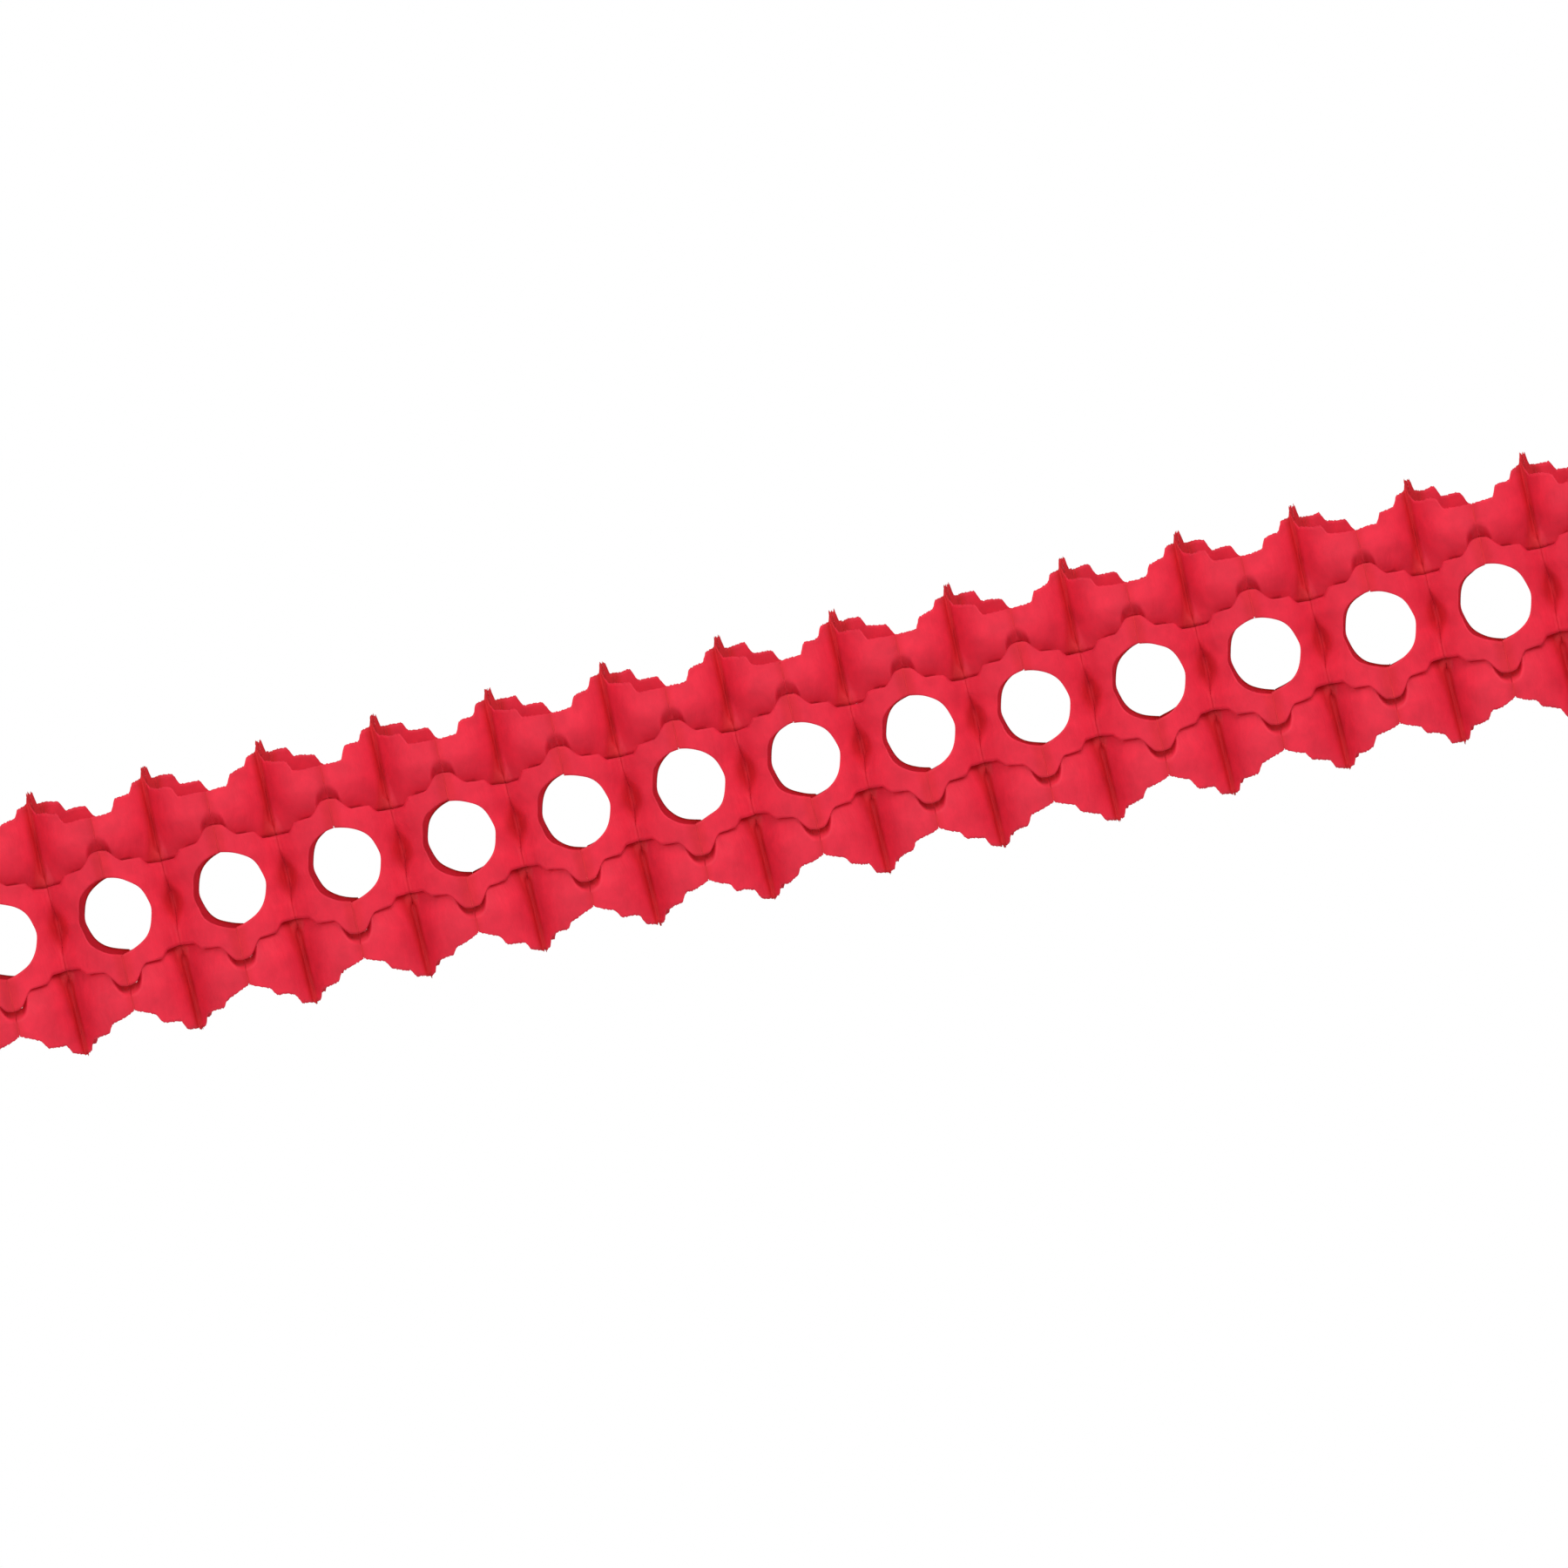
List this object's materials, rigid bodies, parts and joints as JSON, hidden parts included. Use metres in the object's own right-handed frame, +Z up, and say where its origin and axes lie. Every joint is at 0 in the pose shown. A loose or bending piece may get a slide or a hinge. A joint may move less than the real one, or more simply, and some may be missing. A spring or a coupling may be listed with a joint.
{
  "type": "tissue paper garland",
  "caption": "Honeycomb garland of die-cut tissue leaves between end cards, which stretches out and folds up.",
  "frame": {"origin": "middle of the opened garland's box: on its centre line, halfway along its length", "axes": "+X along the garland, +Y across its depth from the side in front to the side behind, +Z up"},
  "size_m": [0.9312, 0.0826, 0.14],
  "materials": {
    "tissue": "matt translucent tissue",
    "end_card": "matt uncoated board"
  },
  "bodies": {
    "left_card": {"end_card_left": "end_card"},
    "spine_00_front": {"sheet_01_front_leaf": "tissue"},
    "spine_00_back": {"sheet_01_back_leaf": "tissue"},
    "rising_01": {"sheet_02_front_03_back": "tissue"},
    "falling_01": {"sheet_03_front_leaf": "tissue", "sheet_02_back_leaf": "tissue"},
    "rising_02": {"sheet_04_front_leaf": "tissue", "sheet_05_back_leaf": "tissue"},
    "falling_02": {"sheet_05_front_leaf": "tissue", "sheet_04_back_leaf": "tissue"},
    "rising_03": {"sheet_06_front_leaf": "tissue", "sheet_07_back_leaf": "tissue"},
    "falling_03": {"sheet_07_front_leaf": "tissue", "sheet_06_back_leaf": "tissue"},
    "rising_04": {"sheet_08_front_leaf": "tissue", "sheet_09_back_leaf": "tissue"},
    "falling_04": {"sheet_09_front_leaf": "tissue", "sheet_08_back_leaf": "tissue"},
    "rising_05": {"sheet_10_front_leaf": "tissue", "sheet_11_back_leaf": "tissue"},
    "falling_05": {"sheet_11_front_leaf": "tissue", "sheet_10_back_leaf": "tissue"},
    "rising_06": {"sheet_12_front_leaf": "tissue", "sheet_13_back_leaf": "tissue"},
    "falling_06": {"sheet_13_front_leaf": "tissue", "sheet_12_back_leaf": "tissue"},
    "rising_07": {"sheet_14_front_leaf": "tissue", "sheet_15_back_leaf": "tissue"},
    "falling_07": {"sheet_15_front_leaf": "tissue", "sheet_14_back_leaf": "tissue"},
    "rising_08": {"sheet_16_front_leaf": "tissue", "sheet_17_back_leaf": "tissue"},
    "falling_08": {"sheet_17_front_leaf": "tissue", "sheet_16_back_leaf": "tissue"},
    "rising_09": {"sheet_18_front_leaf": "tissue", "sheet_19_back_leaf": "tissue"},
    "falling_09": {"sheet_19_front_leaf": "tissue", "sheet_18_back_leaf": "tissue"},
    "rising_10": {"sheet_20_front_leaf": "tissue", "sheet_21_back_leaf": "tissue"},
    "falling_10": {"sheet_21_front_leaf": "tissue", "sheet_20_back_leaf": "tissue"},
    "rising_11": {"sheet_22_front_leaf": "tissue", "sheet_23_back_leaf": "tissue"},
    "falling_11": {"sheet_23_front_leaf": "tissue", "sheet_22_back_leaf": "tissue"},
    "rising_12": {"sheet_24_front_leaf": "tissue", "sheet_25_back_leaf": "tissue"},
    "falling_12": {"sheet_25_front_leaf": "tissue", "sheet_24_back_leaf": "tissue"},
    "rising_13": {"sheet_26_front_leaf": "tissue", "sheet_27_back_leaf": "tissue"},
    "falling_13": {"sheet_27_front_leaf": "tissue", "sheet_26_back_leaf": "tissue"},
    "rising_14": {"sheet_28_front_29_back": "tissue"},
    "falling_14": {"sheet_29_front_leaf": "tissue", "sheet_28_back_leaf": "tissue"},
    "rising_15": {"sheet_30_front_leaf": "tissue"},
    "right_card": {"end_card_right": "end_card"},
    "spine_15_back": {"sheet_30_back_leaf": "tissue"}
  },
  "joints": [
    {"name": "fold", "type": "hinge", "parent": "left_card", "child": "spine_00_front", "pos_m": [-0.46448, 0, 0], "axis": [0, 0, -1], "range_deg": [-20, 34]},
    {"name": "spine_hinge_00_back", "type": "hinge", "parent": "left_card", "child": "spine_00_back", "pos_m": [-0.46448, 0, 0], "axis": [0, 0, 1], "range_deg": [-20, 34]},
    {"name": "edge_hinge_01", "type": "hinge", "parent": "spine_00_front", "child": "rising_01", "pos_m": [-0.43352, -0.02837, 0], "axis": [0, 0, 1], "range_deg": [-40, 68]},
    {"name": "spine_hinge_01", "type": "hinge", "parent": "rising_01", "child": "falling_01", "pos_m": [-0.40255, 0, 0], "axis": [0, 0, -1], "range_deg": [-40, 68]},
    {"name": "edge_hinge_02", "type": "hinge", "parent": "falling_01", "child": "rising_02", "pos_m": [-0.37159, -0.02837, 0], "axis": [0, 0, 1], "range_deg": [-40, 68]},
    {"name": "spine_hinge_02", "type": "hinge", "parent": "rising_02", "child": "falling_02", "pos_m": [-0.34062, 0, 0], "axis": [0, 0, -1], "range_deg": [-40, 68]},
    {"name": "edge_hinge_03", "type": "hinge", "parent": "falling_02", "child": "rising_03", "pos_m": [-0.30966, -0.02837, 0], "axis": [0, 0, 1], "range_deg": [-40, 68]},
    {"name": "spine_hinge_03", "type": "hinge", "parent": "rising_03", "child": "falling_03", "pos_m": [-0.27869, 0, 0], "axis": [0, 0, -1], "range_deg": [-40, 68]},
    {"name": "edge_hinge_04", "type": "hinge", "parent": "falling_03", "child": "rising_04", "pos_m": [-0.24773, -0.02837, 0], "axis": [0, 0, 1], "range_deg": [-40, 68]},
    {"name": "spine_hinge_04", "type": "hinge", "parent": "rising_04", "child": "falling_04", "pos_m": [-0.21676, 0, 0], "axis": [0, 0, -1], "range_deg": [-40, 68]},
    {"name": "edge_hinge_05", "type": "hinge", "parent": "falling_04", "child": "rising_05", "pos_m": [-0.18579, -0.02837, 0], "axis": [0, 0, 1], "range_deg": [-40, 68]},
    {"name": "spine_hinge_05", "type": "hinge", "parent": "rising_05", "child": "falling_05", "pos_m": [-0.15483, 0, 0], "axis": [0, 0, -1], "range_deg": [-40, 68]},
    {"name": "edge_hinge_06", "type": "hinge", "parent": "falling_05", "child": "rising_06", "pos_m": [-0.12386, -0.02837, 0], "axis": [0, 0, 1], "range_deg": [-40, 68]},
    {"name": "spine_hinge_06", "type": "hinge", "parent": "rising_06", "child": "falling_06", "pos_m": [-0.0929, 0, 0], "axis": [0, 0, -1], "range_deg": [-40, 68]},
    {"name": "edge_hinge_07", "type": "hinge", "parent": "falling_06", "child": "rising_07", "pos_m": [-0.06193, -0.02837, 0], "axis": [0, 0, 1], "range_deg": [-40, 68]},
    {"name": "spine_hinge_07", "type": "hinge", "parent": "rising_07", "child": "falling_07", "pos_m": [-0.03097, 0, 0], "axis": [0, 0, -1], "range_deg": [-40, 68]},
    {"name": "edge_hinge_08", "type": "hinge", "parent": "falling_07", "child": "rising_08", "pos_m": [0, -0.02837, 0], "axis": [0, 0, 1], "range_deg": [-40, 68]},
    {"name": "spine_hinge_08", "type": "hinge", "parent": "rising_08", "child": "falling_08", "pos_m": [0.03097, 0, 0], "axis": [0, 0, -1], "range_deg": [-40, 68]},
    {"name": "edge_hinge_09", "type": "hinge", "parent": "falling_08", "child": "rising_09", "pos_m": [0.06193, -0.02837, 0], "axis": [0, 0, 1], "range_deg": [-40, 68]},
    {"name": "spine_hinge_09", "type": "hinge", "parent": "rising_09", "child": "falling_09", "pos_m": [0.0929, 0, 0], "axis": [0, 0, -1], "range_deg": [-40, 68]},
    {"name": "edge_hinge_10", "type": "hinge", "parent": "falling_09", "child": "rising_10", "pos_m": [0.12386, -0.02837, 0], "axis": [0, 0, 1], "range_deg": [-40, 68]},
    {"name": "spine_hinge_10", "type": "hinge", "parent": "rising_10", "child": "falling_10", "pos_m": [0.15483, 0, 0], "axis": [0, 0, -1], "range_deg": [-40, 68]},
    {"name": "edge_hinge_11", "type": "hinge", "parent": "falling_10", "child": "rising_11", "pos_m": [0.18579, -0.02837, 0], "axis": [0, 0, 1], "range_deg": [-40, 68]},
    {"name": "spine_hinge_11", "type": "hinge", "parent": "rising_11", "child": "falling_11", "pos_m": [0.21676, 0, 0], "axis": [0, 0, -1], "range_deg": [-40, 68]},
    {"name": "edge_hinge_12", "type": "hinge", "parent": "falling_11", "child": "rising_12", "pos_m": [0.24773, -0.02837, 0], "axis": [0, 0, 1], "range_deg": [-40, 68]},
    {"name": "spine_hinge_12", "type": "hinge", "parent": "rising_12", "child": "falling_12", "pos_m": [0.27869, 0, 0], "axis": [0, 0, -1], "range_deg": [-40, 68]},
    {"name": "edge_hinge_13", "type": "hinge", "parent": "falling_12", "child": "rising_13", "pos_m": [0.30966, -0.02837, 0], "axis": [0, 0, 1], "range_deg": [-40, 68]},
    {"name": "spine_hinge_13", "type": "hinge", "parent": "rising_13", "child": "falling_13", "pos_m": [0.34062, 0, 0], "axis": [0, 0, -1], "range_deg": [-40, 68]},
    {"name": "edge_hinge_14", "type": "hinge", "parent": "falling_13", "child": "rising_14", "pos_m": [0.37159, -0.02837, 0], "axis": [0, 0, 1], "range_deg": [-40, 68]},
    {"name": "spine_hinge_14", "type": "hinge", "parent": "rising_14", "child": "falling_14", "pos_m": [0.40255, 0, 0], "axis": [0, 0, -1], "range_deg": [-40, 68]},
    {"name": "edge_hinge_15", "type": "hinge", "parent": "falling_14", "child": "rising_15", "pos_m": [0.43352, -0.02837, 0], "axis": [0, 0, 1], "range_deg": [-40, 68]},
    {"name": "spine_hinge_15_card", "type": "hinge", "parent": "rising_15", "child": "right_card", "pos_m": [0.46448, 0, 0], "axis": [0, 0, -1], "range_deg": [-20, 34]},
    {"name": "spine_hinge_15_back", "type": "hinge", "parent": "right_card", "child": "spine_15_back", "pos_m": [0.46448, 0, 0], "axis": [0, 0, -1], "range_deg": [-20, 34]}
  ],
  "couplings": [
    {"joint": "spine_hinge_00_back", "follows": "fold", "ratio": 1},
    {"joint": "edge_hinge_01", "follows": "fold", "ratio": 2},
    {"joint": "spine_hinge_01", "follows": "fold", "ratio": 2},
    {"joint": "edge_hinge_02", "follows": "fold", "ratio": 2},
    {"joint": "spine_hinge_02", "follows": "fold", "ratio": 2},
    {"joint": "edge_hinge_03", "follows": "fold", "ratio": 2},
    {"joint": "spine_hinge_03", "follows": "fold", "ratio": 2},
    {"joint": "edge_hinge_04", "follows": "fold", "ratio": 2},
    {"joint": "spine_hinge_04", "follows": "fold", "ratio": 2},
    {"joint": "edge_hinge_05", "follows": "fold", "ratio": 2},
    {"joint": "spine_hinge_05", "follows": "fold", "ratio": 2},
    {"joint": "edge_hinge_06", "follows": "fold", "ratio": 2},
    {"joint": "spine_hinge_06", "follows": "fold", "ratio": 2},
    {"joint": "edge_hinge_07", "follows": "fold", "ratio": 2},
    {"joint": "spine_hinge_07", "follows": "fold", "ratio": 2},
    {"joint": "edge_hinge_08", "follows": "fold", "ratio": 2},
    {"joint": "spine_hinge_08", "follows": "fold", "ratio": 2},
    {"joint": "edge_hinge_09", "follows": "fold", "ratio": 2},
    {"joint": "spine_hinge_09", "follows": "fold", "ratio": 2},
    {"joint": "edge_hinge_10", "follows": "fold", "ratio": 2},
    {"joint": "spine_hinge_10", "follows": "fold", "ratio": 2},
    {"joint": "edge_hinge_11", "follows": "fold", "ratio": 2},
    {"joint": "spine_hinge_11", "follows": "fold", "ratio": 2},
    {"joint": "edge_hinge_12", "follows": "fold", "ratio": 2},
    {"joint": "spine_hinge_12", "follows": "fold", "ratio": 2},
    {"joint": "edge_hinge_13", "follows": "fold", "ratio": 2},
    {"joint": "spine_hinge_13", "follows": "fold", "ratio": 2},
    {"joint": "edge_hinge_14", "follows": "fold", "ratio": 2},
    {"joint": "spine_hinge_14", "follows": "fold", "ratio": 2},
    {"joint": "edge_hinge_15", "follows": "fold", "ratio": 2},
    {"joint": "spine_hinge_15_card", "follows": "fold", "ratio": 1},
    {"joint": "spine_hinge_15_back", "follows": "fold", "ratio": 1}
  ]
}
